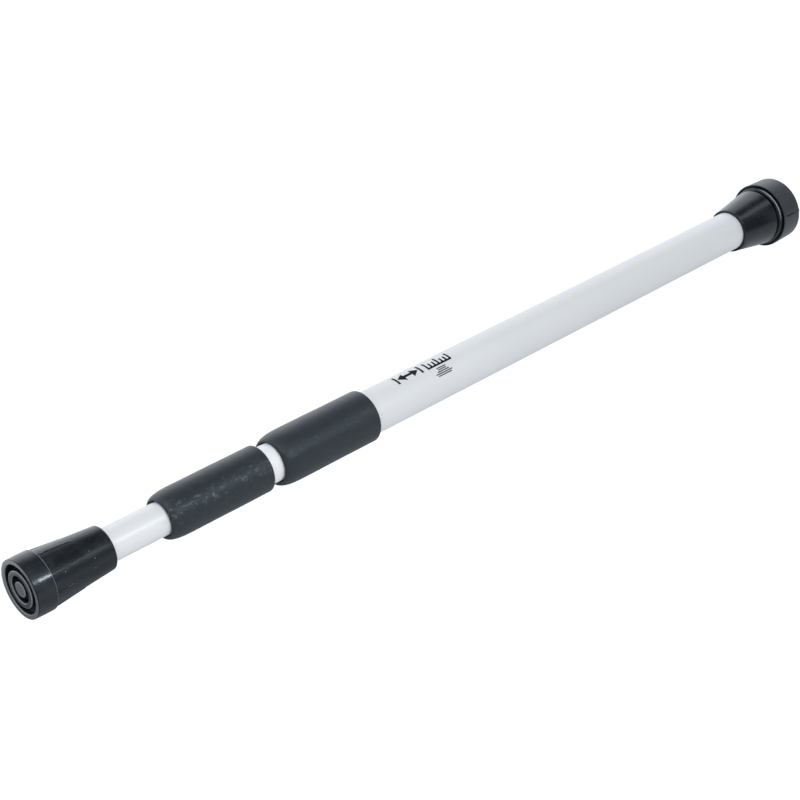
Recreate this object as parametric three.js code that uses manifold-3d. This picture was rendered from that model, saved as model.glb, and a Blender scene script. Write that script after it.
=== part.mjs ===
// Telescoping bed cargo bar: three round aluminium tubes that slide inside each other, two foam
// hand grips, a rubber foot at each end, and a twist lock at the inner end of each moving tube.
//
// Frame, in millimetres: the bar lies along X, and its axis is y = z = 0. The origin is the centre
// of the fixed foot's face, which looks along +X. The bar extends along -X. +Z is up.

import * as THREE from "three";
import * as BufferGeometryUtils from "three/addons/utils/BufferGeometryUtils.js";
import Module from "manifold-3d";

const wasm = await Module();
wasm.setup();

// ---------------------------------------------------------------- driving dimensions

const TUBE_WALL = 1.2;
const OUTER_TUBE_R = 11.0;
const MIDDLE_TUBE_R = 9.5;
const INNER_TUBE_R = 8.0;
const GAP = 0.3; // between pieces that touch or run on each other

// Stations along X with the bar set to its rest length.
const OUTER_FOOT_X = 0;
const OUTER_CAP_MOUTH_X = -44.2;
const OUTER_GRIP_MOUTH_X = -389.0;
const OUTER_GRIP_REAR_X = -330.4;
const MIDDLE_GRIP_MOUTH_X = -453.5;
const MIDDLE_GRIP_REAR_X = -395.6;
const INNER_CAP_MOUTH_X = -483.8;
const INNER_FOOT_X = -526.5;
const MIDDLE_TUBE_INNER_X = -50; // the end of the middle tube that stays inside the outer tube
const INNER_TUBE_INNER_X = -128; // the end of the inner tube that stays inside the middle tube

// Rubber feet.
const OUTER_FOOT_R = 18.0;
const OUTER_FLANGE_R = 18.57;
const OUTER_FLANGE_X = -14.7;
const OUTER_NECK_MOUTH_R = 12.5;
const OUTER_NECK_END_R = 16.2; // the neck's widest place, at the groove in front of the flange
const OUTER_NECK_END_X = -18.6;
const OUTER_GROOVE_R = 15.3; // floor of the groove between the neck and the bead
const OUTER_GROOVE_FROM_X = -18.2;
const OUTER_GROOVE_TO_X = -16.8;
const OUTER_BEAD_R = 17.0;
const OUTER_BEAD_X = -15.7;
const INNER_FOOT_R = 14.1;
const INNER_BODY_BASE_R = 13.1; // the small foot's body where it meets the base ring
const INNER_BODY_MOUTH_R = 10.5;
const INNER_BASE_X = -516.6; // rear edge of the small foot's base ring
const INNER_BASE_REAR_R = 13.95;
const EDGE_LENGTH = 0.4; // small chamfers on the rubber's edges, along X and of radius
const EDGE_DROP = 0.3;
const OUTER_FACE_EDGE = 0.6; // chamfer round the large foot's face
const FOOT_FLOOR = 6.0; // rubber between the foot's face and the washer
const RING_FRACTIONS = [0.277, 0.47, 0.64, 0.81]; // edges of the face's rings, as shares of its radius
const RING_DEPTH = 2.0;
const WASHER_THICKNESS = 1.5;
const WASHER_HOLE_R = 3.5;
const RIB_COUNT = 8;
const RIB_WIDTH = 1.1;
const RIB_HEIGHT = 0.4;
const RIB_END_X = -499.8;
const RIB_ROOT_DEPTH = 1.0; // how far a rib is sunk into the base ring
const RIB_INSIDE_R = 9.5; // a rib's buried inner edge

// Foam grips and the collars under their mouths.
const OUTER_GRIP_R = 13.25;
const MIDDLE_GRIP_R = 11.7;
const GRIP_LIP = 2.3;
const GRIP_MOUTH_CLEARANCE = 0.75;
const GRIP_SHOULDER = 9;
const GRIP_REAR_ROUND = 0.8;
const GRIP_MOUTH_EDGE = 0.4; // chamfer at the mouth, along X
const GRIP_MOUTH_RISE = 0.6; // and of radius
const COLLAR_LENGTH = 2.5;

// Twist locks.
const STUD_R = 3.5;
const STUD_IN_PLUG = 10;
const PLUG_LENGTH = 14;
const PLUG_FLANGE = 3;
const LEAD_IN_LENGTH = 0.8; // chamfers that guide the plug and the expander into their bores
const LEAD_IN_DROP = 0.5;
const EXPANDER_LENGTH = 20;
const EXPANDER_WALL = 1.4; // at the mouth
const EXPANDER_SLOTS = 3;
const SLOT_WIDTH = 2.0;
const SLOT_LENGTH = 15;
const SLOT_OVERCUT = 0.5;
const TAPER_SLOPE = 0.14; // radius lost per millimetre, on the cone and in the expander's bore
const CONE_LENGTH = 13;
const CONE_INSERT = 10; // how far the cone reaches into the expander
const CONE_CLEARANCE = 0.6; // radial, with the lock released
const TAPER_BEYOND_CONE = 3; // the expander's taper goes on this far past the cone's thin end
const KEY_WIDTH = 1.2;
const KEY_INSET = 1.0; // from each end of the cone
const KEY_ROOT = 0.4; // how far a key is sunk into the cone
const KEY_TOP_CLEARANCE = 0.6; // below the expander's outside
const STOP_NUT_THICKNESS = 4;
const STOP_NUT_FLATS = 11;
const STUD_PAST_NUT = 1.0;
const STUD_CHAMFER = 0.6;

const SEGMENTS = 32; // sides of the large round pieces
const SMALL_SEGMENTS = 24; // sides of the studs, nuts and bores of the locks
const ARC_STEPS = 4;

// ---------------------------------------------------------------- helpers

// A solid of revolution about X. The profile is a list of [x, r] points that runs from the axis
// back to the axis, or round a ring's section.
function revolve(profile, segments = SEGMENTS) {
  const points = profile.map(([x, r]) => new THREE.Vector2(r, x));
  const onAxis = profile[0][1] === 0;
  if (!onAxis) {
    points.push(points[0].clone());
  }
  const geometry = new THREE.LatheGeometry(points, segments, Math.PI / segments);
  geometry.rotateZ(-Math.PI / 2);
  return geometry;
}

// Points of an elliptical quarter round from one [x, r] corner end to the other. The curve leaves
// the start along X when alongFirst is true, and along the radius when it is false.
function quarter(start, end, alongFirst) {
  const points = [];
  for (let i = 1; i < ARC_STEPS; i += 1) {
    const angle = (Math.PI / 2) * (i / ARC_STEPS);
    const early = Math.sin(angle);
    const late = 1 - Math.cos(angle);
    const alongX = alongFirst ? early : late;
    const alongR = alongFirst ? late : early;
    points.push([start[0] + (end[0] - start[0]) * alongX, start[1] + (end[1] - start[1]) * alongR]);
  }
  return points;
}

function box(size, centre) {
  const geometry = new THREE.BoxGeometry(...size);
  geometry.translate(...centre);
  return geometry;
}

function toManifold(geometry) {
  const bare = geometry.clone();
  bare.deleteAttribute("normal");
  bare.deleteAttribute("uv");
  const merged = BufferGeometryUtils.mergeVertices(bare, 1e-4);
  const positions = merged.getAttribute("position").array;
  const kept = [];
  const index = merged.index.array;
  for (let i = 0; i < index.length; i += 3) {
    const [a, b, c] = [index[i], index[i + 1], index[i + 2]];
    if (a !== b && b !== c && c !== a) {
      kept.push(a, b, c);
    }
  }
  return new wasm.Manifold(
    new wasm.Mesh({
      numProp: 3,
      vertProperties: new Float32Array(positions),
      triVerts: new Uint32Array(kept),
    }),
  );
}

function fromManifold(solid) {
  const mesh = solid.getMesh();
  const geometry = new THREE.BufferGeometry();
  geometry.setAttribute("position", new THREE.BufferAttribute(mesh.vertProperties, 3));
  geometry.setIndex(new THREE.BufferAttribute(mesh.triVerts, 1));
  geometry.computeVertexNormals();
  return geometry;
}

function cut(geometry, tools) {
  const whole = toManifold(geometry);
  return fromManifold(tools.reduce((solid, tool) => solid.subtract(toManifold(tool)), whole));
}

function join(geometry, tools) {
  const first = toManifold(geometry);
  return fromManifold(tools.reduce((solid, tool) => solid.add(toManifold(tool)), first));
}

function material(color, roughness, metalness) {
  return new THREE.MeshStandardMaterial({ color, roughness, metalness });
}

const anodised = () => material(0xd9dce1, 0.35, 0.9);
const foam = () => material(0x3a3f45, 0.95, 0.0);
const rubber = () => material(0x2b2e32, 0.55, 0.0);
const nylon = () => material(0x1b1c1e, 0.5, 0.0);
const steel = () => material(0xa9adb2, 0.4, 1.0);

const bar = new THREE.Group();

function addPiece(name, geometry, pieceMaterial) {
  const mesh = new THREE.Mesh(geometry, pieceMaterial);
  mesh.name = name;
  bar.add(mesh);
}

// ---------------------------------------------------------------- tubes, collars and grips

function tube(fromX, toX, radius) {
  const bore = radius - TUBE_WALL;
  return revolve([[fromX, bore], [fromX, radius], [toX, radius], [toX, bore]]);
}

// The nylon ring that closes the gap between a tube's end and the lip of its grip.
function collar(gripMouthX, tubeRadius) {
  const fromX = gripMouthX + GRIP_LIP + GAP;
  const toX = fromX + COLLAR_LENGTH;
  const bore = tubeRadius - TUBE_WALL;
  return revolve([[fromX, bore], [fromX, tubeRadius], [toX, tubeRadius], [toX, bore]]);
}

function tubeEndAtGrip(gripMouthX) {
  return gripMouthX + GRIP_LIP + COLLAR_LENGTH + 2 * GAP;
}

// A foam sleeve with a long soft shoulder at its mouth, whose lip closes in round the moving tube.
function grip(mouthX, rearX, radius, tubeRadius, movingRadius) {
  const bore = tubeRadius + GAP;
  const lipBore = movingRadius + GRIP_MOUTH_CLEARANCE;
  const lipX = mouthX + GRIP_LIP;
  const mouthTop = [mouthX, lipBore + GRIP_MOUTH_RISE];
  const shoulderTop = [mouthX + GRIP_SHOULDER, radius];
  const rearTop = [rearX - GRIP_REAR_ROUND, radius];
  const rearEdge = [rearX, radius - GRIP_REAR_ROUND];
  return revolve([
    [mouthX + GRIP_MOUTH_EDGE, lipBore],
    mouthTop,
    ...quarter(mouthTop, shoulderTop, false),
    shoulderTop,
    rearTop,
    ...quarter(rearTop, rearEdge, true),
    rearEdge,
    [rearX, bore],
    [lipX, bore],
    [lipX, lipBore],
  ]);
}

// ---------------------------------------------------------------- rubber feet

// The rings and grooves of a foot's face, from its centre out, at depth 0 or RING_DEPTH. inward is
// +1 where the solid lies on the +X side of the face and -1 where it lies on the -X side.
function faceRings(faceX, faceRadius, inward) {
  const points = [[faceX, 0]];
  RING_FRACTIONS.forEach((share, i) => {
    const goesIn = i % 2 === 0;
    const low = [faceX + inward * RING_DEPTH, faceRadius * share];
    const high = [faceX, faceRadius * share];
    points.push(...(goesIn ? [high, low] : [low, high]));
  });
  return points;
}

function outerFoot() {
  const bore = OUTER_TUBE_R + GAP;
  const floorX = OUTER_FOOT_X - FOOT_FLOOR;
  const profile = [
    [floorX, 0],
    [floorX, bore],
    [OUTER_CAP_MOUTH_X, bore],
    [OUTER_CAP_MOUTH_X, OUTER_NECK_MOUTH_R - EDGE_DROP],
    [OUTER_CAP_MOUTH_X + EDGE_LENGTH, OUTER_NECK_MOUTH_R],
    [OUTER_NECK_END_X, OUTER_NECK_END_R],
    [OUTER_GROOVE_FROM_X, OUTER_GROOVE_R],
    [OUTER_GROOVE_TO_X, OUTER_GROOVE_R],
    [OUTER_BEAD_X, OUTER_BEAD_R],
    [OUTER_FLANGE_X, OUTER_BEAD_R],
    [OUTER_FLANGE_X, OUTER_FLANGE_R - EDGE_DROP],
    [OUTER_FLANGE_X + EDGE_LENGTH, OUTER_FLANGE_R],
    [OUTER_FOOT_X - OUTER_FACE_EDGE, OUTER_FOOT_R],
    [OUTER_FOOT_X, OUTER_FOOT_R - OUTER_FACE_EDGE],
  ];
  return revolve([...profile, ...faceRings(OUTER_FOOT_X, OUTER_FOOT_R, -1).reverse()]);
}

function innerFoot() {
  const bore = INNER_TUBE_R + GAP;
  const floorX = INNER_FOOT_X + FOOT_FLOOR;
  const profile = [
    [INNER_FOOT_X, INNER_FOOT_R - EDGE_DROP],
    [INNER_FOOT_X + EDGE_LENGTH, INNER_FOOT_R],
    [INNER_BASE_X - EDGE_LENGTH, INNER_BASE_REAR_R],
    [INNER_BASE_X, INNER_BASE_REAR_R - EDGE_DROP],
    [INNER_BASE_X, INNER_BODY_BASE_R],
    [INNER_CAP_MOUTH_X - EDGE_LENGTH, INNER_BODY_MOUTH_R],
    [INNER_CAP_MOUTH_X, INNER_BODY_MOUTH_R - EDGE_DROP],
    [INNER_CAP_MOUTH_X, bore],
    [floorX, bore],
    [floorX, 0],
  ];
  const turned = revolve([...faceRings(INNER_FOOT_X, INNER_FOOT_R, 1), ...profile]);
  const ribs = [];
  for (let i = 0; i < RIB_COUNT; i += 1) {
    ribs.push(footRib((i / RIB_COUNT) * 2 * Math.PI));
  }
  return join(turned, ribs);
}

// One rib on the small foot, from the base ring to the middle of the body, where it runs out.
function footRib(angle) {
  const rootX = INNER_BASE_X - RIB_ROOT_DEPTH;
  const slope = (INNER_BODY_MOUTH_R - INNER_BODY_BASE_R) / (INNER_CAP_MOUTH_X - INNER_BASE_X);
  const bodyEndR = INNER_BODY_BASE_R + slope * (RIB_END_X - INNER_BASE_X);
  const outline = new THREE.Shape();
  outline.moveTo(rootX, RIB_INSIDE_R);
  outline.lineTo(rootX, INNER_BODY_BASE_R + RIB_HEIGHT);
  outline.lineTo(INNER_BASE_X, INNER_BODY_BASE_R + RIB_HEIGHT);
  outline.lineTo(RIB_END_X, bodyEndR + RIB_HEIGHT / 2);
  outline.lineTo(RIB_END_X, RIB_INSIDE_R);
  outline.closePath();
  const rib = new THREE.ExtrudeGeometry(outline, { depth: RIB_WIDTH, bevelEnabled: false });
  rib.translate(0, 0, -RIB_WIDTH / 2);
  rib.rotateX(Math.PI / 2 + angle);
  return rib;
}

// The steel washer that keeps a tube's edge from cutting through the rubber.
function footWasher(floorX, inward, tubeRadius) {
  const nearX = floorX + inward * GAP;
  const farX = nearX + inward * WASHER_THICKNESS;
  const [fromX, toX] = [Math.min(nearX, farX), Math.max(nearX, farX)];
  return revolve([
    [fromX, WASHER_HOLE_R],
    [fromX, tubeRadius],
    [toX, tubeRadius],
    [toX, WASHER_HOLE_R],
  ]);
}

function tubeEndInFoot(faceX, inward) {
  return faceX + inward * (FOOT_FLOOR + WASHER_THICKNESS + 2 * GAP);
}

// ---------------------------------------------------------------- twist locks

// Stations of a lock, worked out from the inner end of the tube that carries it.
function lockStations(tubeEndX) {
  const flangeX = tubeEndX + GAP;
  const expanderX = flangeX + PLUG_FLANGE + GAP;
  const expanderEndX = expanderX + EXPANDER_LENGTH;
  const coneX = expanderEndX - CONE_INSERT;
  const coneEndX = coneX + CONE_LENGTH;
  const nutX = coneEndX + GAP;
  const studEndX = nutX + STOP_NUT_THICKNESS + STUD_PAST_NUT;
  return { flangeX, expanderX, expanderEndX, coneX, coneEndX, nutX, studEndX };
}

// The plug that is pressed into the tube's end and holds the threaded stud.
function lockPlug(tubeEndX, tubeRadius) {
  const { flangeX } = lockStations(tubeEndX);
  const spigot = tubeRadius - TUBE_WALL - GAP;
  const fromX = tubeEndX - PLUG_LENGTH;
  const flangeEndX = flangeX + PLUG_FLANGE;
  const holeX = tubeEndX - STUD_IN_PLUG - GAP;
  return revolve([
    [fromX, 0],
    [fromX, spigot - LEAD_IN_DROP],
    [fromX + LEAD_IN_LENGTH, spigot],
    [flangeX, spigot],
    [flangeX, tubeRadius],
    [flangeEndX, tubeRadius],
    [flangeEndX, STUD_R + GAP],
    [holeX, STUD_R + GAP],
    [holeX, 0],
  ]);
}

function lockStud(tubeEndX) {
  const fromX = tubeEndX - STUD_IN_PLUG;
  const { studEndX } = lockStations(tubeEndX);
  return revolve(
    [
      [fromX, 0],
      [fromX, STUD_R - STUD_CHAMFER],
      [fromX + STUD_CHAMFER, STUD_R],
      [studEndX - STUD_CHAMFER, STUD_R],
      [studEndX, STUD_R - STUD_CHAMFER],
      [studEndX, 0],
    ],
    SMALL_SEGMENTS,
  );
}

// The split sleeve that the cone presses out against the surrounding tube's bore.
function lockExpander(tubeEndX, boreRadius) {
  const { expanderX, expanderEndX } = lockStations(tubeEndX);
  const outside = boreRadius - GAP;
  const mouth = outside - EXPANDER_WALL;
  const taperX = expanderEndX - CONE_INSERT - TAPER_BEYOND_CONE;
  const throat = mouth - TAPER_SLOPE * (expanderEndX - taperX);
  const turned = revolve([
    [expanderX, STUD_R + GAP],
    [expanderX, outside - LEAD_IN_DROP],
    [expanderX + LEAD_IN_LENGTH, outside],
    [expanderEndX, outside],
    [expanderEndX, mouth],
    [taperX, throat],
    [taperX, STUD_R + GAP],
  ]);
  const slots = [];
  for (let i = 0; i < EXPANDER_SLOTS; i += 1) {
    const centreX = expanderEndX - SLOT_LENGTH / 2 + SLOT_OVERCUT;
    const slot = box([SLOT_LENGTH, SLOT_WIDTH, boreRadius], [centreX, 0, boreRadius / 2]);
    slot.rotateX((i / EXPANDER_SLOTS) * 2 * Math.PI);
    slots.push(slot);
  }
  return cut(turned, slots);
}

// The threaded cone. Its keys ride in the expander's slots, so it travels along the stud and
// doesn't turn with it.
function lockCone(tubeEndX, boreRadius) {
  const { coneX, coneEndX, expanderEndX } = lockStations(tubeEndX);
  const thick = boreRadius - GAP - EXPANDER_WALL - CONE_CLEARANCE;
  const thin = thick - TAPER_SLOPE * (expanderEndX - coneX);
  const bore = STUD_R + GAP;
  const turned = revolve(
    [[coneX, bore], [coneX, thin], [expanderEndX, thick], [coneEndX, thick], [coneEndX, bore]],
    SMALL_SEGMENTS,
  );
  const keyFrom = coneX + KEY_INSET;
  const keyTo = coneEndX - KEY_INSET;
  const keyTop = boreRadius - GAP - KEY_TOP_CLEARANCE;
  const keyRoot = thin - KEY_ROOT;
  const keys = [];
  for (let i = 0; i < EXPANDER_SLOTS; i += 1) {
    const key = box(
      [keyTo - keyFrom, KEY_WIDTH, keyTop - keyRoot],
      [(keyTo + keyFrom) / 2, 0, (keyTop + keyRoot) / 2],
    );
    key.rotateX((i / EXPANDER_SLOTS) * 2 * Math.PI);
    keys.push(key);
  }
  return join(turned, keys);
}

// The hexagon nut that stops the cone from leaving the stud.
function stopNut(tubeEndX) {
  const { nutX } = lockStations(tubeEndX);
  const cornerRadius = STOP_NUT_FLATS / 2 / Math.cos(Math.PI / 6);
  const outline = new THREE.Shape();
  for (let i = 0; i < 6; i += 1) {
    const angle = (i * Math.PI) / 3;
    const [y, z] = [cornerRadius * Math.cos(angle), cornerRadius * Math.sin(angle)];
    if (i === 0) {
      outline.moveTo(y, z);
    } else {
      outline.lineTo(y, z);
    }
  }
  outline.closePath();
  const hole = new THREE.Path();
  hole.absarc(0, 0, STUD_R + GAP, 0, 2 * Math.PI, true);
  outline.holes.push(hole);
  const nut = new THREE.ExtrudeGeometry(outline, {
    depth: STOP_NUT_THICKNESS,
    bevelEnabled: false,
    curveSegments: SMALL_SEGMENTS / 2,
  });
  nut.rotateY(Math.PI / 2);
  nut.translate(nutX, 0, 0);
  return nut;
}

function addLock(prefix, tubeEndX, tubeRadius, boreRadius) {
  addPiece(`${prefix}_lock_plug`, lockPlug(tubeEndX, tubeRadius), nylon());
  addPiece(`${prefix}_lock_stud`, lockStud(tubeEndX), steel());
  addPiece(`${prefix}_lock_expander`, lockExpander(tubeEndX, boreRadius), nylon());
  addPiece(`${prefix}_lock_cone`, lockCone(tubeEndX, boreRadius), nylon());
  addPiece(`${prefix}_lock_stop_nut`, stopNut(tubeEndX), steel());
}

// ---------------------------------------------------------------- the bar

// A tube with its collar and grip. The tube runs from under the grip to endX.
function addSleevedTube(prefix, endX, tubeRadius, movingRadius, mouthX, rearX, gripRadius) {
  addPiece(`${prefix}_tube`, tube(tubeEndAtGrip(mouthX), endX, tubeRadius), anodised());
  addPiece(`${prefix}_mouth_collar`, collar(mouthX, tubeRadius), nylon());
  addPiece(`${prefix}_grip`, grip(mouthX, rearX, gripRadius, tubeRadius, movingRadius), foam());
}

function addOuterSection() {
  const endX = tubeEndInFoot(OUTER_FOOT_X, -1);
  const [mouthX, rearX] = [OUTER_GRIP_MOUTH_X, OUTER_GRIP_REAR_X];
  addSleevedTube("outer", endX, OUTER_TUBE_R, MIDDLE_TUBE_R, mouthX, rearX, OUTER_GRIP_R);
  addPiece("outer_end_cap", outerFoot(), rubber());
  addPiece("outer_cap_washer", footWasher(OUTER_FOOT_X - FOOT_FLOOR, -1, OUTER_TUBE_R), steel());
}

function addMiddleSection() {
  const endX = MIDDLE_TUBE_INNER_X;
  const [mouthX, rearX] = [MIDDLE_GRIP_MOUTH_X, MIDDLE_GRIP_REAR_X];
  addSleevedTube("middle", endX, MIDDLE_TUBE_R, INNER_TUBE_R, mouthX, rearX, MIDDLE_GRIP_R);
  addLock("middle", endX, MIDDLE_TUBE_R, OUTER_TUBE_R - TUBE_WALL);
}

function addInnerSection() {
  const endX = INNER_TUBE_INNER_X;
  addPiece("inner_tube", tube(tubeEndInFoot(INNER_FOOT_X, 1), endX, INNER_TUBE_R), anodised());
  addPiece("inner_end_cap", innerFoot(), rubber());
  addPiece("inner_cap_washer", footWasher(INNER_FOOT_X + FOOT_FLOOR, 1, INNER_TUBE_R), steel());
  addLock("inner", endX, INNER_TUBE_R, MIDDLE_TUBE_R - TUBE_WALL);
}

addOuterSection();
addMiddleSection();
addInnerSection();

export default bar;
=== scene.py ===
"""Telescoping twist-lock cargo bar: fine meshes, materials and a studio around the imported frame.

The pieces are drawn in millimetres, as stations along X and radii about it, and turned into metres
where a mesh is made. Each node's own ends and radius are read from the frame. The studio, its
lights and the camera are in metres.
"""

import math
from collections import namedtuple

import bmesh
import bpy
from mathutils import Matrix, Vector, noise


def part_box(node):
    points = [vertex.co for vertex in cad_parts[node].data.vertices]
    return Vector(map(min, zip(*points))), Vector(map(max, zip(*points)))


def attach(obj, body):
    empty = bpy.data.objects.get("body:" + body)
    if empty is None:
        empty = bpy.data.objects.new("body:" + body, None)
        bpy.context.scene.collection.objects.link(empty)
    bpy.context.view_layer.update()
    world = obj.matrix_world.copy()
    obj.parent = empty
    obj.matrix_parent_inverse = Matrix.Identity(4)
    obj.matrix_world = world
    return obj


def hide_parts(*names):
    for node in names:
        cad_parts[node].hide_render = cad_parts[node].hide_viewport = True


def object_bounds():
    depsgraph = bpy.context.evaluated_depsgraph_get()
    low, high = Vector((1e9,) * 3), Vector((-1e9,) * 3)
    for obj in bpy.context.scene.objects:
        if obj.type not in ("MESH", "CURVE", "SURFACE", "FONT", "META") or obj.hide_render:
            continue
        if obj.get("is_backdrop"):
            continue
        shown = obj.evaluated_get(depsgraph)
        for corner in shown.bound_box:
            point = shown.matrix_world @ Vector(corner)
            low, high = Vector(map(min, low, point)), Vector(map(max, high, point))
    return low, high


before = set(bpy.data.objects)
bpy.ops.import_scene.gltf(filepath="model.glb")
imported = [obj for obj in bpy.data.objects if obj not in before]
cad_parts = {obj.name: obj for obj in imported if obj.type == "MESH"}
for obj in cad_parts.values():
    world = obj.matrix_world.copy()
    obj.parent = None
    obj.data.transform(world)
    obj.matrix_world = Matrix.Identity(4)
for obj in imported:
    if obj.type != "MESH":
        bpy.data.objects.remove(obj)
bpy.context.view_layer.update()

MM = 0.001
CAD_SIDES = 32
CAD_TO_TRUE = 1 / math.cos(math.pi / CAD_SIDES)
ON_AXIS = 1e-6  # a profile point closer to the axis than this becomes one vertex
ARC_SHARE = 0.49  # the most of a straight stretch that a corner's arc may take


# ---------------------------------------------------------------- reading the frame


def low_x(node):
    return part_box(node)[0][0] / MM


def high_x(node):
    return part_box(node)[1][0] / MM


def radius_of(node):
    """The true outer radius of a round node, whose CAD solid has flats at its top and bottom."""
    low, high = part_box(node)
    return (high[2] - low[2]) / 2 / MM * CAD_TO_TRUE


# ---------------------------------------------------------------- mesh helpers


def rounded(corners, steps=5):
    """Turns corners (x, r, fillet) into a profile whose corners are arcs of that fillet radius."""
    out = []
    count = len(corners)
    for i, (x, r, fillet) in enumerate(corners):
        here = Vector((x, r))
        if fillet <= 0 or i in (0, count - 1):
            out.append((x, r))
            continue
        before = Vector(corners[i - 1][:2]) - here
        after = Vector(corners[i + 1][:2]) - here
        turn = before.angle(after)
        reach = fillet / math.tan(turn / 2)
        reach = min(reach, before.length * ARC_SHARE, after.length * ARC_SHARE)
        start = here + before.normalized() * reach
        end = here + after.normalized() * reach
        for k in range(steps + 1):
            t = k / steps
            point = start.lerp(here, t).lerp(here.lerp(end, t), t)
            out.append((point.x, point.y))
    return out


def resampled(profile, longest):
    """Splits every stretch of a profile that is longer than this."""
    out = [profile[0]]
    for (xa, ra), (xb, rb) in zip(profile, profile[1:]):
        parts = max(1, math.ceil(math.hypot(xb - xa, rb - ra) / longest))
        for k in range(1, parts + 1):
            out.append((xa + (xb - xa) * k / parts, ra + (rb - ra) * k / parts))
    return out


def revolve(name, profile, sides=192, relief=None):
    """A closed solid of revolution about X. The profile runs from the axis to the axis, or is a
    ring's section. relief(x, angle, r) is a height added to the radius."""
    mesh_data = bmesh.new()
    rings = []
    for x, r in profile:
        if r < ON_AXIS:
            rings.append([mesh_data.verts.new((x * MM, 0, 0))])
            continue
        ring = []
        for k in range(sides):
            angle = 2 * math.pi * k / sides
            grown = r + (relief(x, angle, r) if relief else 0)
            y = -grown * MM * math.sin(angle)
            z = grown * MM * math.cos(angle)
            ring.append(mesh_data.verts.new((x * MM, y, z)))
        rings.append(ring)
    pairs = list(zip(rings, rings[1:]))
    if len(rings[0]) > 1:
        pairs.append((rings[-1], rings[0]))
    for a, b in pairs:
        for k in range(sides):
            n = (k + 1) % sides
            corners = [a[k % len(a)], a[n % len(a)], b[n % len(b)], b[k % len(b)]]
            kept = [v for i, v in enumerate(corners) if v not in corners[:i]]
            mesh_data.faces.new(kept)
    bmesh.ops.recalc_face_normals(mesh_data, faces=mesh_data.faces)
    return as_object(name, mesh_data)


def as_object(name, mesh_data, sharp=38):
    """A linked object, smooth except at edges that turn more than sharp degrees."""
    mesh = bpy.data.meshes.new(name)
    mesh_data.to_mesh(mesh)
    mesh_data.free()
    mesh.shade_smooth()
    mesh.set_sharp_from_angle(angle=math.radians(sharp))
    piece = bpy.data.objects.new(name, mesh)
    bpy.context.scene.collection.objects.link(piece)
    return piece


def smoothstep(low, high, value):
    """0 below low, 1 above high, and an S curve between."""
    t = min(1, max(0, (value - low) / (high - low)))
    return t * t * (3 - 2 * t)


# ---------------------------------------------------------------- material helpers


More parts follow.
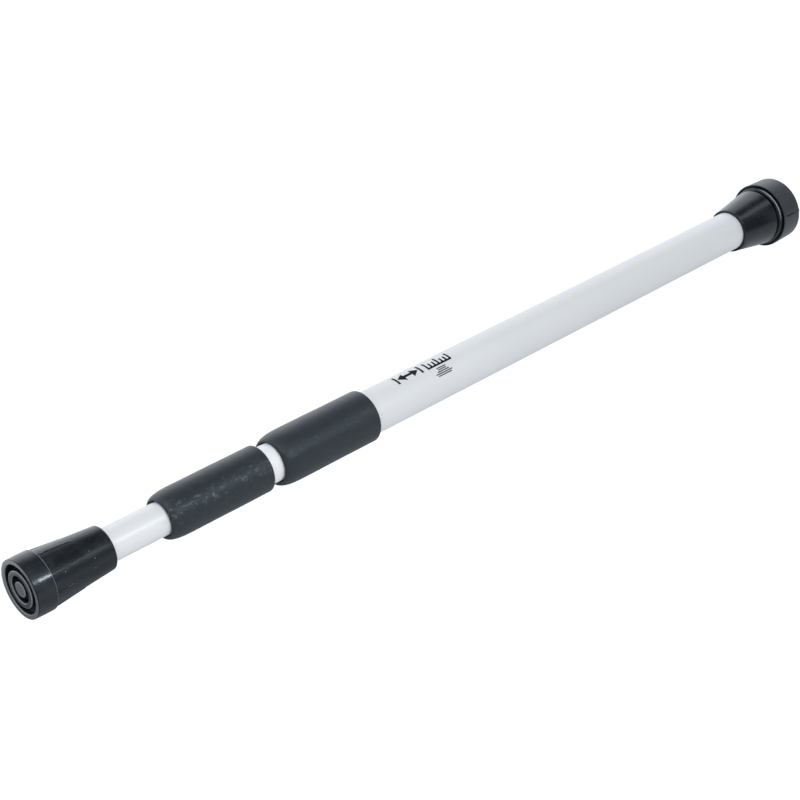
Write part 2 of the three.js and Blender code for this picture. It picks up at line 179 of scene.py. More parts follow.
class Nodes:
    """A short way to write a material's node tree."""

    def __init__(self, name):
        self.material = bpy.data.materials.new(name)
        self.material.use_nodes = True
        self.tree = self.material.node_tree
        self.shader = self.tree.nodes["Principled BSDF"]

    def add(self, kind, **settings):
        node = self.tree.nodes.new(kind)
        for key, value in settings.items():
            if key in node.inputs:
                node.inputs[key].default_value = value
            else:
                setattr(node, key, value)
        return node

    def link(self, source, target):
        self.tree.links.new(source, target)

    def set(self, **values):
        for key, value in values.items():
            self.shader.inputs[key.replace("_", " ")].default_value = value

    def coords(self, scale=(1, 1, 1)):
        """Object coordinates in millimetres, stretched by scale."""
        place = self.add("ShaderNodeTexCoord")
        mapping = self.add("ShaderNodeMapping")
        mapping.inputs["Scale"].default_value = [s / MM for s in scale]
        self.link(place.outputs["Object"], mapping.inputs["Vector"])
        return mapping.outputs["Vector"]

    def noise(self, scale, detail=2.0, stretch=(1, 1, 1), roughness=0.5):
        node = self.add("ShaderNodeTexNoise", Scale=scale, Detail=detail, Roughness=roughness)
        self.link(self.coords(stretch), node.inputs["Vector"])
        return node.outputs["Fac"]

    def ramp(self, value, stops):
        """A colour ramp; stops are (position, colour or grey)."""
        node = self.add("ShaderNodeValToRGB")
        elements = node.color_ramp.elements
        while len(elements) < len(stops):
            elements.new(0.5)
        for element, (position, colour) in zip(elements, stops):
            grey = not isinstance(colour, tuple)
            element.position = position
            element.color = (colour, colour, colour, 1) if grey else (*colour, 1)
        self.link(value, node.inputs["Fac"])
        return node.outputs["Color"]

    def remap(self, value, low, high, from_low=0.0, from_high=1.0):
        node = self.add("ShaderNodeMapRange")
        node.inputs["From Min"].default_value = from_low
        node.inputs["From Max"].default_value = from_high
        node.inputs["To Min"].default_value = low
        node.inputs["To Max"].default_value = high
        self.link(value, node.inputs["Value"])
        return node.outputs["Result"]

    def mix(self, factor, a, b):
        node = self.add("ShaderNodeMix", data_type="RGBA")
        self.link(factor, node.inputs["Factor"])
        for socket, value in ((node.inputs["A"], a), (node.inputs["B"], b)):
            if isinstance(value, tuple):
                socket.default_value = (*value, 1)
            else:
                self.link(value, socket)
        return node.outputs["Result"]

    def math(self, operation, a, b):
        node = self.add("ShaderNodeMath", operation=operation)
        for socket, value in ((node.inputs[0], a), (node.inputs[1], b)):
            if isinstance(value, (int, float)):
                socket.default_value = value
            else:
                self.link(value, socket)
        return node.outputs["Value"]

    def facing(self, direction):
        """Cosine of the angle round X between a point of the bar's surface and this direction."""
        flat = self.add("ShaderNodeVectorMath", operation="MULTIPLY")
        self.link(self.coords(), flat.inputs[0])
        flat.inputs[1].default_value = (0, 1, 1)
        unit = self.add("ShaderNodeVectorMath", operation="NORMALIZE")
        self.link(flat.outputs["Vector"], unit.inputs[0])
        dot = self.add("ShaderNodeVectorMath", operation="DOT_PRODUCT")
        self.link(unit.outputs["Vector"], dot.inputs[0])
        dot.inputs[1].default_value = direction
        return dot.outputs["Value"]

    def radius(self):
        """Distance from the bar's axis in millimetres."""
        flat = self.add("ShaderNodeVectorMath", operation="MULTIPLY")
        self.link(self.coords(), flat.inputs[0])
        flat.inputs[1].default_value = (0, 1, 1)
        length = self.add("ShaderNodeVectorMath", operation="LENGTH")
        self.link(flat.outputs["Vector"], length.inputs[0])
        return length.outputs["Value"]

    def across_x(self):
        """1 where the surface faces along the bar, 0 where it faces out from the axis."""
        normal = self.add("ShaderNodeNewGeometry")
        parts = self.add("ShaderNodeSeparateXYZ")
        self.link(normal.outputs["Normal"], parts.inputs["Vector"])
        return self.math("ABSOLUTE", parts.outputs["X"], 0.0)

    def near_x(self, x, full, none):
        """1 within full millimetres of the station x along the bar, 0 beyond none."""
        parts = self.add("ShaderNodeSeparateXYZ")
        self.link(self.coords(), parts.inputs["Vector"])
        away = self.math("ABSOLUTE", self.math("SUBTRACT", parts.outputs["X"], x), 0.0)
        return self.remap(away, 1.0, 0.0, full, none)

    def bump(self, height, strength, distance_mm):
        node = self.add("ShaderNodeBump", Strength=strength, Distance=distance_mm * MM)
        self.link(height, node.inputs["Height"])
        self.link(node.outputs["Normal"], self.shader.inputs["Normal"])


# ---------------------------------------------------------------- materials

COOL = (0.84, 0.94, 1.0, 1)

# The side of a grip with the pale scuff marks, as a direction round the bar. It faces the light, so
# # the marks there also paint a band of highlight.
RUBBED_AND_LIT_SIDE = (0, -0.755, 0.656)
FOAM_SHADES = ((0.0090, 0.0124, 0.0164), (0.0134, 0.0174, 0.0224))
# pale scuff marks, which on the side towards the light also paint a band of highlight
SCUFFS_AND_HIGHLIGHT_FOAM = (0.105, 0.112, 0.122)

# Where a foot's face steps, as shares of its radius: disc, groove, ring, groove, rim.
RING_SHARES = (0.262, 0.46, 0.62, 0.825)
SMEARED_RUBBER = (0.034, 0.039, 0.046)
# painted shade: a dark line on the rounded outer edge of a foot's face
PAINTED_EDGE_SHADE = (0.001, 0.0012, 0.0015)
FACE_GREY = (0.112, 0.120, 0.130)
DULL_RING = (0.034, 0.036, 0.040)
# painted highlight: pale lines on the ring edges of a foot's face, where they would catch the light
PAINTED_EDGE_HIGHLIGHT = (0.24, 0.25, 0.26)
# a pale mould line with a painted highlight, and a painted glint on the large foot's bead
PALE_LINE_AND_GLINT = (0.24, 0.26, 0.28)
DUST_SPECK = (0.36, 0.37, 0.38)

# A pale line round a foot at the station x, with a painted highlight: it is brightest on the lit
# side
# # that side names, and has faded out where the cosine of the angle from that side is fades_at. On
# the
# # small foot it is a mould line; on the large foot it is only a painted glint along the bead's
# edge.
MouldLineAndGlint = namedtuple("MouldLineAndGlint", "x half_width strength side fades_at")


def anodised_aluminium(name, metallic, roughness, shades):
    """Satin clear-anodised tube: fine drawn lines along X, and clouds between two near shades."""
    n = Nodes(name)
    lines = n.noise(1.6, detail=3, stretch=(0.012, 1, 1))
    clouds = n.noise(0.035, detail=2)
    grain = n.noise(5.0, detail=1)
    n.link(n.mix(clouds, *shades), n.shader.inputs["Base Color"])
    drawn = n.remap(lines, roughness - 0.05, roughness + 0.05)
    rough = n.math("ADD", drawn, n.remap(clouds, -0.03, 0.03))
    n.link(rough, n.shader.inputs["Roughness"])
    height = n.math("ADD", n.math("MULTIPLY", lines, 0.8), n.math("MULTIPLY", grain, 0.3))
    n.bump(height, 0.12, 0.05)
    n.set(Metallic=metallic, Specular_IOR_Level=0.3)
    return n.material


def foam_rubber(name, scuffs_and_highlight):
    """Closed-cell foam: a dull skin with fine cells, and pale scuff marks along the side towards the
    light, which also paint a band of highlight there.
    """
    n = Nodes(name)
    cells = n.add("ShaderNodeTexVoronoi", Scale=1.9, feature="F1")
    n.link(n.coords(), cells.inputs["Vector"])
    grain = n.noise(3.2, detail=3)
    mottle = n.noise(0.16, detail=3)
    dark = n.mix(mottle, *FOAM_SHADES)
    patches = n.noise(0.6, detail=5, stretch=(0.7, 1, 1), roughness=0.6)
    marks = n.ramp(patches, [(0.53, 0.0), (0.70, scuffs_and_highlight)])
    # painted highlight: the scuff marks show only on the side that faces the light
    rubbed_and_lit = n.math("MULTIPLY", marks, n.remap(n.facing(RUBBED_AND_LIT_SIDE), 0.12, 0.75, 0.93, 0.995))
    n.link(n.mix(rubbed_and_lit, dark, SCUFFS_AND_HIGHLIGHT_FOAM), n.shader.inputs["Base Color"])
    n.link(n.remap(mottle, 0.40, 0.52), n.shader.inputs["Roughness"])
    height = n.math("ADD", cells.outputs["Distance"], n.math("MULTIPLY", grain, 1.1))
    n.bump(height, 0.3, 0.09)
    n.set(Specular_IOR_Level=0.42, Specular_Tint=COOL)
    n.set(Sheen_Weight=0.09, Sheen_Roughness=0.5, Sheen_Tint=COOL)
    return n.material


def ringed_face(n, shade, face_x, radius):
    """Lays over shade the matt grey face at the station face_x, with its dull middle ring, painted
    highlights on the ring edges and painted shade as a dark line on its rounded outer edge."""
    at_face = n.near_x(face_x, 0.4, 0.7)
    # painted shade: darkens the rounded outer edge of the face
    edge = n.math("MULTIPLY", at_face, n.remap(n.radius(), 0.0, 1.0, radius - 1.1, radius - 0.8))
    shade = n.mix(edge, shade, PAINTED_EDGE_SHADE)
    on_face = n.math("MULTIPLY", n.remap(n.across_x(), 0.0, 1.0, 0.80, 0.95), at_face)
    shade = n.mix(on_face, shade, FACE_GREY)
    ring_middle = (RING_SHARES[1] + RING_SHARES[2]) / 2 * radius
    from_ring = n.math("ABSOLUTE", n.math("SUBTRACT", n.radius(), ring_middle), 0.0)
    on_ring = n.math("MULTIPLY", n.remap(from_ring, 0.75, 0.0, 0.9, 1.3), at_face)
    shade = n.mix(on_ring, shade, DULL_RING)
    # painted highlights along the ring edges, where they would catch the light
    for share in RING_SHARES:
        away = n.math("ABSOLUTE", n.math("SUBTRACT", n.radius(), share * radius), 0.0)
        edge_highlight = n.math("MULTIPLY", n.remap(away, 0.8, 0.0, 0.14, 0.34), at_face)
        shade = n.mix(edge_highlight, shade, PAINTED_EDGE_HIGHLIGHT)
    return shade


def moulded_rubber(name, node, face_x, change_r, roughness, shades, line, dusty):
    """Black moulded rubber with faint smears and a pale line with a painted highlight on its lit
    side.
    Beyond the radius change_r its roughness and shade go from the first of each pair to the second.
    dusty adds pale specks."""
    n = Nodes(name)
    smears = n.noise(0.11, detail=4, stretch=(0.6, 1, 1), roughness=0.6)
    skin = n.noise(2.6, detail=2)
    waves = n.noise(0.18, detail=1)
    outer = n.remap(n.radius(), 0.0, 1.0, change_r - 0.15, change_r + 0.15)
    shade = n.mix(outer, *shades)
    shade = n.mix(n.ramp(smears, [(0.48, 0.0), (0.74, 0.5)]), shade, SMEARED_RUBBER)
    shade = ringed_face(n, shade, face_x, radius_of(node))
    # painted highlight: the line is brightest on the side that faces the light
    lit_side_mask = n.remap(n.facing(line.side), 0.0, line.strength, line.fades_at, 0.97)
    on_line = n.near_x(line.x, line.half_width * 0.4, line.half_width)
    shade = n.mix(n.math("MULTIPLY", on_line, lit_side_mask), shade, PALE_LINE_AND_GLINT)
    if dusty:
        dust = n.add("ShaderNodeTexVoronoi", Scale=0.27, feature="F1")
        n.link(n.coords(), dust.inputs["Vector"])
        specks = n.ramp(dust.outputs["Distance"], [(0.034, 1.0), (0.058, 0.0)])
        shade = n.mix(specks, shade, DUST_SPECK)
    n.link(shade, n.shader.inputs["Base Color"])
    rough = n.math("ADD", n.remap(outer, *roughness), n.remap(smears, -0.05, 0.07))
    n.link(rough, n.shader.inputs["Roughness"])
    n.bump(n.math("ADD", n.math("MULTIPLY", skin, 0.06), waves), 0.25, 0.2)
    n.set(Specular_IOR_Level=0.38, Specular_Tint=COOL)
    return n.material


def black_nylon():
    """Moulded nylon of the collars and the locks."""
    n = Nodes("black_nylon")
    texture = n.noise(2.2, detail=3)
    clouds = n.noise(0.2, detail=2)
    shade = n.mix(clouds, (0.010, 0.011, 0.012), (0.022, 0.023, 0.025))
    n.link(shade, n.shader.inputs["Base Color"])
    n.link(n.remap(texture, 0.38, 0.56), n.shader.inputs["Roughness"])
    n.bump(texture, 0.2, 0.05)
    n.set(Specular_IOR_Level=0.45)
    return n.material


def zinc_steel():
    """Zinc-plated steel of the washers, studs and nuts."""
    n = Nodes("zinc_plated_steel")
    lines = n.noise(1.2, detail=3, stretch=(1, 0.2, 0.2))
    spangle = n.noise(0.5, detail=2)
    n.link(n.mix(spangle, (0.50, 0.51, 0.53), (0.63, 0.64, 0.66)), n.shader.inputs["Base Color"])
    n.link(n.remap(lines, 0.26, 0.44), n.shader.inputs["Roughness"])
    n.bump(lines, 0.15, 0.04)
    n.set(Metallic=1.0)
    return n.material


def printed_ink():
    """Flat black ink with slight wear."""
    n = Nodes("printed_ink")
    wear = n.noise(1.8, detail=4)
    n.link(n.mix(wear, (0.004, 0.004, 0.005), (0.012, 0.012, 0.014)), n.shader.inputs["Base Color"])
    n.link(n.remap(wear, 0.6, 0.8), n.shader.inputs["Roughness"])
    n.bump(wear, 0.1, 0.02)
    n.set(Specular_IOR_Level=0.1)
    return n.material


OUTER_TUBE = anodised_aluminium(
    "anodised_outer", metallic=0.10, roughness=0.52,
    shades=((0.630, 0.635, 0.645), (0.661, 0.664, 0.673)),
)
# painted light: paler than the other tubes, to make up for the grips' shade on its short stretch
MIDDLE_TUBE = anodised_aluminium(
    "anodised_middle", metallic=0.05, roughness=0.5,
    shades=((0.742, 0.746, 0.752), (0.772, 0.776, 0.782)),
)
INNER_TUBE = anodised_aluminium(
    "anodised_inner", metallic=0.06, roughness=0.38,
    shades=((0.642, 0.647, 0.654), (0.677, 0.681, 0.688)),
)
NEAR_FOAM = foam_rubber("near_foam_grip", scuffs_and_highlight=1.0)
FAR_FOAM = foam_rubber("far_foam_grip", scuffs_and_highlight=0.2)
SMALL_FOOT_RUBBER = moulded_rubber(
    "small_foot_rubber", "inner_end_cap", face_x=low_x("inner_end_cap"),
    change_r=13.4, roughness=(0.25, 0.20),
    shades=((0.0078, 0.0094, 0.0120), (0.0115, 0.0136, 0.0170)),
    # a mould line, with a painted highlight on its upper side
    line=MouldLineAndGlint(low_x("inner_end_cap") + 9.8, 0.25, 0.6, (0, -0.26, 0.966), -0.5), dusty=True,
)
LARGE_FOOT_RUBBER = moulded_rubber(
    "large_foot_rubber", "outer_end_cap", face_x=high_x("outer_end_cap"),
    change_r=17.6, roughness=(0.26, 0.42),
    shades=((0.0050, 0.0062, 0.0080), (0.0262, 0.0285, 0.0340)),
    # a painted glint along the bead's edge, on the side towards the light
    line=MouldLineAndGlint(high_x("outer_end_cap") - 15.75, 0.26, 1.6, (0, -0.6, 0.8), 0.72), dusty=False,
)
NYLON = black_nylon()
STEEL = zinc_steel()
INK = printed_ink()


# ---------------------------------------------------------------- tubes

TUBE_WALL = 1.2


def make_tube(node, body, material):
    """A drawn tube with deburred ends. Its section starts and ends halfway along the bore."""
    start, end, radius = low_x(node), high_x(node), radius_of(node)
    bore = radius - TUBE_WALL
    edge = 0.25
    middle = (start + end) / 2
    corners = [
        (middle, bore, 0), (start, bore, edge), (start, radius, edge),
        (end, radius, edge), (end, bore, edge), (middle, bore, 0),
    ]
    section = rounded(corners, 3)[:-1]
    piece = revolve(f"{node}_drawn", resampled(section, 40), sides=160)
    finish_piece(piece, body, material, "tube", node)
    return piece


def finish_piece(piece, body, material, slot, *nodes):
    """Gives a piece its material and body, and hides the CAD nodes that it replaces. slot is not
    used.
    """
    piece.data.materials.append(material)
    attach(piece, body)
    if nodes:
        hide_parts(*nodes)


# ---------------------------------------------------------------- foam grips


def make_grip(node, body, moving_tube, own_tube, material):
    """A foam sleeve: a long soft shoulder at its mouth, a small round at its rear, slight lumps."""
    mouth, rear, radius = low_x(node), high_x(node), radius_of(node)
    lip_bore = radius_of(moving_tube) + 0.7
    bore = radius_of(own_tube) + 0.05
    lip_end = mouth + 2.3
    shoulder, shoulder_steps, shoulder_curve = 10.5, 24, 1.15
    profile = [(lip_end, lip_bore + 0.1), (mouth + 0.45, lip_bore), (mouth + 0.12, lip_bore + 0.12)]
    start_r = lip_bore + 0.3
    for k in range(shoulder_steps + 1):
        a = (math.pi / 2) * k / shoulder_steps
        x = mouth + shoulder * (1 - math.cos(a)) ** shoulder_curve
        profile.append((x, start_r + (radius - start_r) * math.sin(a)))
    round_r, round_steps = 0.8, 8
    straight_end = rear - round_r
    profile += resampled([profile[-1], (straight_end, radius)], 0.8)[1:]
    for k in range(1, round_steps + 1):
        a = (math.pi / 2) * k / round_steps
        x = straight_end + round_r * math.sin(a)
        profile.append((x, radius - round_r * (1 - math.cos(a))))
    profile += [(rear, bore + 0.12), (rear - 0.15, bore), (lip_end, bore)]
    seed = Vector((mouth, radius, 3.1))

    def lumps(x, angle, r):
        """Broad and fine unevenness of the outer skin; the bore and the lip stay smooth."""
        if r < radius - 1.6 or r <= bore + 0.15:
            return 0
        broad_point = Vector((x * 0.05, 1.4 * math.cos(angle), 1.4 * math.sin(angle)))
        fine_point = Vector((x * 0.28, 3.2 * math.cos(angle), 3.2 * math.sin(angle)))
        broad = 0.11 * noise.noise(broad_point + seed)
        return broad + 0.035 * noise.noise(fine_point + seed)

    piece = revolve(f"{node}_foam", profile, sides=224, relief=lumps)
    finish_piece(piece, body, material, "grip", node)
    return piece


# ---------------------------------------------------------------- rubber feet

FOOT_SIDES = 640
FOOT_BORE_GAP = 0.04
TUBE_SEAT_DEPTH = 6.0  # from a foot's face to the floor that its tube stands on
GROOVE_DEPTH = 3.4
RIBS = 8


def face_rings(face, radius, inward):
    """Corners of a foot's face from its centre out: a disc, a groove, a ring and a groove. inward is
    the way into the rubber along X, 1 or -1. The rim beyond is the caller's."""
    corners = [(face, 0, 0)]
    for i, share in enumerate(RING_SHARES):
        top = (face, radius * share, 0.45)
        foot = (face + inward * GROOVE_DEPTH, radius * share, 0.3)
        corners += [top, foot] if i % 2 == 0 else [foot, top]
    return corners


def make_small_foot(node="inner_end_cap", body="inner_section"):
    """A straight base ring, a crisp step, and a body that narrows to the mouth with thin ribs."""
    face, mouth, radius = low_x(node), high_x(node), radius_of(node)
    base_rear = face + 9.9
    bore = radius_of("inner_tube") + FOOT_BORE_GAP
    floor = face + TUBE_SEAT_DEPTH
    body_r = radius - 1.0
    mouth_r = radius - 3.55
    crown = 60  # so large a fillet that its arc takes as much of the ring as it may
    outside = [
        (face, radius - 0.16, 0.32),
        (face + 4.2, radius, crown),
        (base_rear, radius - 0.07, 0.22),
        (base_rear + 0.02, body_r, 0.15),
        (mouth, mouth_r, 0.35),
    ]
    inside = [(mouth, bore, 0.3), (floor, bore, 0.3), (floor, 0, 0)]
    corners = face_rings(face, radius, 1) + outside + inside
    profile = resampled(rounded(corners), 0.55)
    rib_end = face + 26.7
    rib_height, rib_taper = 0.42, 0.22

    def ribs(x, angle, r):
        """Thin ribs along the body, lower towards their end."""
        if not base_rear + 0.05 < x < rib_end + 0.4 or r < bore + 0.5:
            return 0
        height = rib_height - rib_taper * smoothstep(base_rear, rib_end, x)
        end = 1 - smoothstep(rib_end - 0.6, rib_end + 0.2, x)
        turn = (angle * RIBS / (2 * math.pi) + 0.5) % 1 - 0.5
        across = abs(turn) * 2 * math.pi / RIBS * r
        return height * end * (1 - smoothstep(0.28, 0.56, across))

    piece = revolve(f"{node}_rubber", profile, sides=FOOT_SIDES, relief=ribs)
    finish_piece(piece, body, SMALL_FOOT_RUBBER, "foot", node)
    return piece


def make_large_foot(node="outer_end_cap", body="outer_section"):
    """A neck that widens to a groove, a rounded bead, a recess, and the flange with its face."""
    mouth, face, flange_r = low_x(node), high_x(node), radius_of(node)
    face_r = flange_r - 0.45
    flange = face - 14.6
    bore = radius_of("outer_tube") + FOOT_BORE_GAP
    floor = face - TUBE_SEAT_DEPTH
    lip_r = bore + 1.35
    neck_end = face - 18.8
    neck_r = flange_r - 2.35
    groove_r = neck_r - 2.4
    bead_r = flange_r - 1.55
    corners = [
        (floor, 0, 0),
        (floor, bore, 0.3),
        (mouth, bore, 0.25),
        (mouth, lip_r, 0.35),
        (mouth + 0.85, lip_r + 0.1, 0.2),
        (mouth + 1.0, lip_r - 0.08, 0.08),
        (mouth + 1.2, lip_r + 0.06, 0.1),
        (neck_end, neck_r, 0.3),
        (neck_end + 0.15, groove_r, 0.2),
        (flange - 2.2, groove_r, 0.2),
        (flange - 2.0, neck_r - 0.35, 0.2),
        (flange - 1.0, bead_r - 0.1, 0.9),
        (flange + 1.8, bead_r + 0.08, 0.2),
        (flange + 1.8, flange_r - 0.62, 0.2),
        (flange, flange_r - 0.6, 0.2),
        (flange, flange_r, 0.28),
        (face, face_r, 0.35),
    ]
    corners += list(reversed(face_rings(face, face_r, -1)))
    profile = resampled(rounded(corners), 0.7)
    seam_angle = math.radians(74.5)
    seam_depth, nub_height = 0.8, 0.25

    def seam(x, angle, r):
        """A fine parting groove on the flange's two sides, with a small flash nub at the face."""
        if r < face_r - 0.5 or x < flange + 2.6:
            return 0
        away = (angle - seam_angle + math.pi / 2) % math.pi - math.pi / 2
        across = abs(away) * r
        before_nub = 1 - smoothstep(face - 4.2, face - 3.2, x)
        groove = -seam_depth * (1 - smoothstep(0.18, 0.48, across)) * before_nub
        at_nub = smoothstep(face - 1.6, face - 1.0, x)
        nub = nub_height * (1 - smoothstep(0.5, 0.9, across)) * at_nub
        return groove + nub

    piece = revolve(f"{node}_rubber", profile, sides=FOOT_SIDES, relief=seam)
    finish_piece(piece, body, LARGE_FOOT_RUBBER, "foot", node)
    return piece


# ---------------------------------------------------------------- printed mark


def bar_shape(x, y, length, width):
    """Corners of a rectangle from x on, centred on y."""
    low, high = y - width / 2, y + width / 2
    return [(x, low), (x + length, low), (x + length, high), (x, high)]


def mark_shapes():
    """A double arrow between two stops, a graduated scale and a block of short rules, as convex
    (x, y) outlines in millimetres."""
    length, stop, stop_height = 17.0, 1.2, 6.4
    head, half_head, shaft = 4.4, 2.9, 1.7
    tip = stop + 0.5
    shapes = [
        bar_shape(0, 0, stop, stop_height),
        bar_shape(length - stop, 0, stop, stop_height),
        bar_shape(tip + head, 0, length - 2 * (tip + head), shaft),
        [(tip, 0), (tip + head, -half_head), (tip + head, half_head)],
        [(length - tip, 0), (length - tip - head, half_head), (length - tip - head, -half_head)],
    ]
    scale_x, scale_length, ticks, stroke = 19.8, 16.2, 7, 1.1
    long_tick, short_tick, ticks_from = 4.8, 2.8, -2.05
    shapes.append(bar_shape(scale_x, -2.6, scale_length, stroke))
    for k in range(ticks):
        tall = long_tick if k % 3 == 0 else short_tick
        x = scale_x + k * (scale_length - stroke) / (ticks - 1)
        shapes.append(bar_shape(x, ticks_from + tall / 2, stroke, tall))
    rules_x, rules_y, pitch, rule_width = 27.0, -4.6, 1.02, 0.52
    for k, rule in enumerate((6.0, 5.4, 7.6, 10.8, 9.0)):
        shapes.append(bar_shape(rules_x - rule / 2, rules_y - pitch * k, rule, rule_width))
    return shapes


def make_mark():
    """A plain printed mark on the outer tube, beside the grip, wrapped round it as a thin solid."""
    tube_r = radius_of("outer_tube")
    skin = 0.015  # the ink's underside stands this far off the tube
    thick = 0.04
    start = high_x("outer_grip") + 21
    line = math.radians(2)  # from +Z towards -Y at the middle of the mark
    shapes = [[(start + x, y) for x, y in shape] for shape in mark_shapes()]
    mesh_data = bmesh.new()
    for shape in shapes:
        flat = [mesh_data.verts.new((x, y, 0)) for x, y in shape]
        mesh_data.faces.new(flat)
    bmesh.ops.triangulate(mesh_data, faces=mesh_data.faces[:])
    bmesh.ops.subdivide_edges(mesh_data, edges=mesh_data.edges[:], cuts=5, use_grid_fill=True)
    bmesh.ops.triangulate(mesh_data, faces=mesh_data.faces[:])
    top = bmesh.ops.extrude_face_region(mesh_data, geom=mesh_data.faces[:])["geom"]
    raised = {v for v in top if isinstance(v, bmesh.types.BMVert)}
    for v in mesh_data.verts:
        r = tube_r + skin + (thick if v in raised else 0)
        angle = line - v.co.y / tube_r
        v.co = Vector((v.co.x * MM, -r * MM * math.sin(angle), r * MM * math.cos(angle)))
    bmesh.ops.recalc_face_normals(mesh_data, faces=mesh_data.faces)
    piece = as_object("outer_tube_print", mesh_data)
    finish_piece(piece, "outer_section", INK, "collar")
    return piece


# ---------------------------------------------------------------- pieces

make_tube("outer_tube", "outer_section", OUTER_TUBE)
make_tube("middle_tube", "middle_section", MIDDLE_TUBE)
make_tube("inner_tube", "inner_section", INNER_TUBE)
make_grip("outer_grip", "outer_section", "middle_tube", "outer_tube", FAR_FOAM)
make_grip("middle_grip", "middle_section", "inner_tube", "middle_tube", NEAR_FOAM)
make_small_foot()
make_large_foot()
make_mark()

CAD_MATERIALS = {
    "collar": NYLON, "plug": NYLON, "expander": NYLON, "cone": NYLON,
    "washer": STEEL, "stud": STEEL, "nut": STEEL,
}
for node_name, node_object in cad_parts.items():
    for word, material in CAD_MATERIALS.items():
        if word in node_name:
            node_object.data.materials.clear()
            node_object.data.materials.append(material)


# ---------------------------------------------------------------- floor, light and camera


STUDIO_WHITE = (0.955, 1, 1.05, 1)
WORLD_WHITE = (0.94, 0.99, 1.04, 1)
WALL_BRIGHTNESS = 0.86
FLOOR_HALF = 6.0  # metres
FLOOR_GAP = 0.0002  # metres from the bar down to the floor
CARD_GAP = 0.0001  # metres from the bar down to the cards that lie on the floor

# Brightness of the cards under the bar: y in millimetres, falling, and strength.
UNDER_BAR = [
    (75, 1.3), (42, 1.2), (27, 0.10), (2, 0.12), (-16, 0.46), (-62, 0.80), (-75, 0.80),
]
BESIDE_BAR = [
    (75, 1.3), (42, 1.2), (27, 0.35), (2, 0.40), (-16, 0.85), (-62, 0.90), (-75, 0.90),
]


def make_floor():
    """A white light table: it glows, so the bar casts hardly any shadow on it."""
    low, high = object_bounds()
    floor_z = low[2] - FLOOR_GAP
    centre = (low[0] + high[0]) / 2
    mesh = bpy.data.meshes.new("studio_floor")
    signs = ((-1, -1), (1, -1), (1, 1), (-1, 1))
    corners = [(centre + sx * FLOOR_HALF, sy * FLOOR_HALF, floor_z) for sx, sy in signs]
    mesh.from_pydata(corners, [], [(0, 1, 2, 3)])
    floor = bpy.data.objects.new("studio_floor", mesh)
    bpy.context.scene.collection.objects.link(floor)
    n = Nodes("white_light_table")
    mottle = n.noise(0.004, detail=2)
    n.link(n.mix(mottle, (0.05, 0.05, 0.05), (0.06, 0.06, 0.06)), n.shader.inputs["Base Color"])
    n.set(Roughness=0.9, Specular_IOR_Level=0.0)
    n.set(Emission_Color=STUDIO_WHITE, Emission_Strength=1.045)
    floor.data.materials.append(n.material)
    floor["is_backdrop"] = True


def make_card(name, corners, brightness):
    """A flat card that only glossy reflections see. Corners are metres, in order round the card;
    brightness is one number, or (y, brightness) stops in millimetres with y falling."""
    mesh = bpy.data.meshes.new(name)
    mesh.from_pydata(corners, [], [(0, 1, 2, 3)])
    card = bpy.data.objects.new(name, mesh)
    bpy.context.scene.collection.objects.link(card)
    card.visible_camera = False
    card.visible_diffuse = False
    card.visible_shadow = False
    n = Nodes(name)
    n.set(Base_Color=(0, 0, 0, 1), Roughness=1.0, Specular_IOR_Level=0.0)
    n.set(Emission_Color=STUDIO_WHITE)
    if isinstance(brightness, list):
        first, last = brightness[0][0], brightness[-1][0]
        parts = n.add("ShaderNodeSeparateXYZ")
        n.link(n.coords(), parts.inputs["Vector"])
        across = n.remap(parts.outputs["Y"], 0.0, 1.0, first, last)
        stops = [((y - first) / (last - first), value) for y, value in brightness]
        n.link(n.ramp(across, stops), n.shader.inputs["Emission Strength"])
    else:
        n.set(Emission_Strength=brightness)
    card.data.materials.append(n.material)
    card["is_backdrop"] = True


def facing_card(centre, aim, half_width, half_height):
    """Corners of an upright rectangle at centre whose face looks at aim; its width is level."""
    centre, aim = Vector(centre), Vector(aim)
    out = (aim - centre).normalized()
    side = out.cross(Vector((0, 0, 1))).normalized() * half_width
    up = side.cross(out).normalized() * half_height
    return [tuple(centre + a * side + b * up) for a, b in ((-1, -1), (1, -1), (1, 1), (-1, 1))]


def level_card(name, x_range, y_range, z, brightness):
    """A card lying flat at the height z."""
    (left, right), (front, back) = x_range, y_range
    corners = [(left, front, z), (right, front, z), (right, back, z), (left, back, z)]
    make_card(name, corners, brightness)


def make_cards():
    """Contact shade under the bar, and the dark and bright cards that the rubber mirrors."""
    low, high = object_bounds()
    card_z = low[2] - CARD_GAP
    start, end, half = low[0] - 0.7, high[0] - 0.030, 0.075
    near, far, left, right = 0.076, 0.6, low[0] - 0.3, high[0] + 1.4
    level_card("contact_shade", (start, end), (-half, half), card_z, UNDER_BAR)
    level_card("back_floor", (left, right), (near, far), card_z, 1.35)
    level_card("front_floor", (left, right), (-far, -near), card_z, 0.78)
    level_card("far_end_shade", (end, right), (-half, half), card_z, BESIDE_BAR)
    top = 0.50
    wall = [(left, far, card_z), (right, far, card_z), (right, far, top), (left, far, top)]
    make_card("back_wall", wall, 1.85)
    neck_flag = facing_card((0.123, -0.175, 0.092), (0.123, 0, 0), 0.055, 0.122)
    make_card("neck_flag", neck_flag, 0.0)
    foot_flag = facing_card((-0.427, -0.054, 0.100), (-0.427, 0, 0), 0.012, 0.024)
    make_card("foot_flag", foot_flag, 0.0)
    ring = Vector((-0.521, 0, 0))
    spot = facing_card(ring + 1.2 * Vector(heading(-61.5, 35.4)), ring, 0.040, 0.040)
    make_card("ring_spot", spot, 140.0)
    fill = facing_card((0.135, 0.190, 0.160), (-0.02, 0, 0), 0.150, 0.130)
    make_card("far_end_fill", fill, 1.9)


def heading(azimuth, elevation):
    """Unit vector; azimuth in degrees from +X towards +Y, elevation in degrees above the floor."""
    a, e = math.radians(azimuth), math.radians(elevation)
    return (math.cos(e) * math.cos(a), math.cos(e) * math.sin(a), math.sin(e))


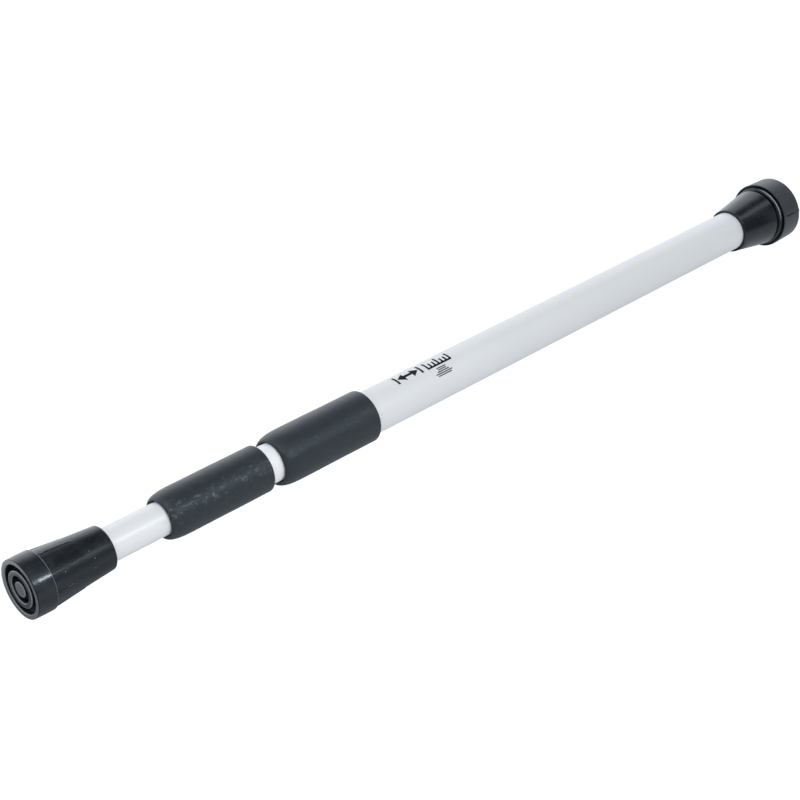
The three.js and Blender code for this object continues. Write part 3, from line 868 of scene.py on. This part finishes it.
# Parts of the studio round the bar: azimuth, elevation, half width and soft edge in degrees, then
# the share of the wall's brightness that is kept in a dark part, or what a bright part adds to it.
DARK_PARTS = {
    "open_ceiling": (-12, 50, 16, 7, 0.08),
    "ceiling_corner": (28, 60, 15, 8, 0.08),
    "front_wall": (-55, 9, 23, 8, 0.47),
    "behind_camera": (-140, 22, 30, 14, 0.30),
}
BRIGHT_PARTS = {
    "overhead_softbox": (-160, 66, 20, 8, 1.7),
}


def make_world():
    """A white room with a softbox and a few dark parts, as a brightness for each direction."""
    world = bpy.data.worlds.new("studio")
    bpy.context.scene.world = world
    world.use_nodes = True
    tree = world.node_tree
    background = tree.nodes["Background"]
    place = tree.nodes.new("ShaderNodeTexCoord")

    def combine(operation, a, b):
        """A maths node on two numbers or sockets."""
        node = tree.nodes.new("ShaderNodeMath")
        node.operation = operation
        for socket, value in zip(node.inputs, (a, b)):
            if isinstance(value, (int, float)):
                socket.default_value = value
            else:
                tree.links.new(value, socket)
        return node.outputs["Value"]

    def patch(azimuth, elevation, half_width, soft_edge, inside, outside):
        """inside within half_width degrees of the heading, outside beyond the soft edge."""
        dot = tree.nodes.new("ShaderNodeVectorMath")
        dot.operation = "DOT_PRODUCT"
        tree.links.new(place.outputs["Generated"], dot.inputs[0])
        dot.inputs[1].default_value = heading(azimuth, elevation)
        remap = tree.nodes.new("ShaderNodeMapRange")
        remap.interpolation_type = "SMOOTHSTEP"
        remap.inputs["From Min"].default_value = math.cos(math.radians(half_width + soft_edge))
        remap.inputs["From Max"].default_value = math.cos(math.radians(half_width))
        remap.inputs["To Min"].default_value = outside
        remap.inputs["To Max"].default_value = inside
        tree.links.new(dot.outputs["Value"], remap.inputs["Value"])
        return remap.outputs["Result"]

    total = WALL_BRIGHTNESS
    for azimuth, elevation, half_width, soft_edge, keep in DARK_PARTS.values():
        total = combine("MULTIPLY", total, patch(azimuth, elevation, half_width, soft_edge, keep, 1))
    for azimuth, elevation, half_width, soft_edge, added in BRIGHT_PARTS.values():
        total = combine("ADD", total, patch(azimuth, elevation, half_width, soft_edge, added, 0))
    tree.links.new(total, background.inputs["Strength"])
    background.inputs["Color"].default_value = WORLD_WHITE


def make_lights():
    """A softbox over the small foot's end that the rubber does not mirror, and a small one near the
    large foot, which lays a band along its neck."""
    key = area_light("key_softbox", (-0.55, -0.38, 0.32), (-0.42, 0, 0), (0.3, 0.3), 1.15)
    key.visible_glossy = False
    area_light("neck_softbox", (0.285, -0.2, 0.48), (-0.03, 0, 0), (0.24, 0.14), 0.25)


def area_light(name, place, aim, size, power):
    """A rectangular light at place that faces aim; power is in watts."""
    light = bpy.data.lights.new(name, "AREA")
    light.shape = "RECTANGLE"
    light.size, light.size_y = size
    light.energy = power
    lamp = bpy.data.objects.new(name, light)
    lamp.location = Vector(place)
    lamp.rotation_euler = (Vector(aim) - lamp.location).to_track_quat("-Z", "Y").to_euler()
    bpy.context.scene.collection.objects.link(lamp)
    return lamp


def make_camera():
    """Three-quarter view from above the small foot's end."""
    camera = bpy.data.cameras.new("camera")
    camera.lens = 80.8
    camera.sensor_width = 36
    camera.clip_start = 0.01
    camera_object = bpy.data.objects.new("camera", camera)
    forward = Vector((0.5856, 0.6124, -0.5311)).normalized()
    right = Vector((0.7227, -0.6912, 0)).normalized()
    up = right.cross(forward)
    turn = Matrix((right, up, -forward)).transposed().to_4x4()
    camera_object.matrix_world = Matrix.Translation((-0.8231, -0.5410, 0.4676)) @ turn
    bpy.context.scene.collection.objects.link(camera_object)
    bpy.context.scene.camera = camera_object


make_floor()
make_cards()
make_world()
make_lights()
make_camera()
bpy.context.scene.view_settings.view_transform = "Standard"
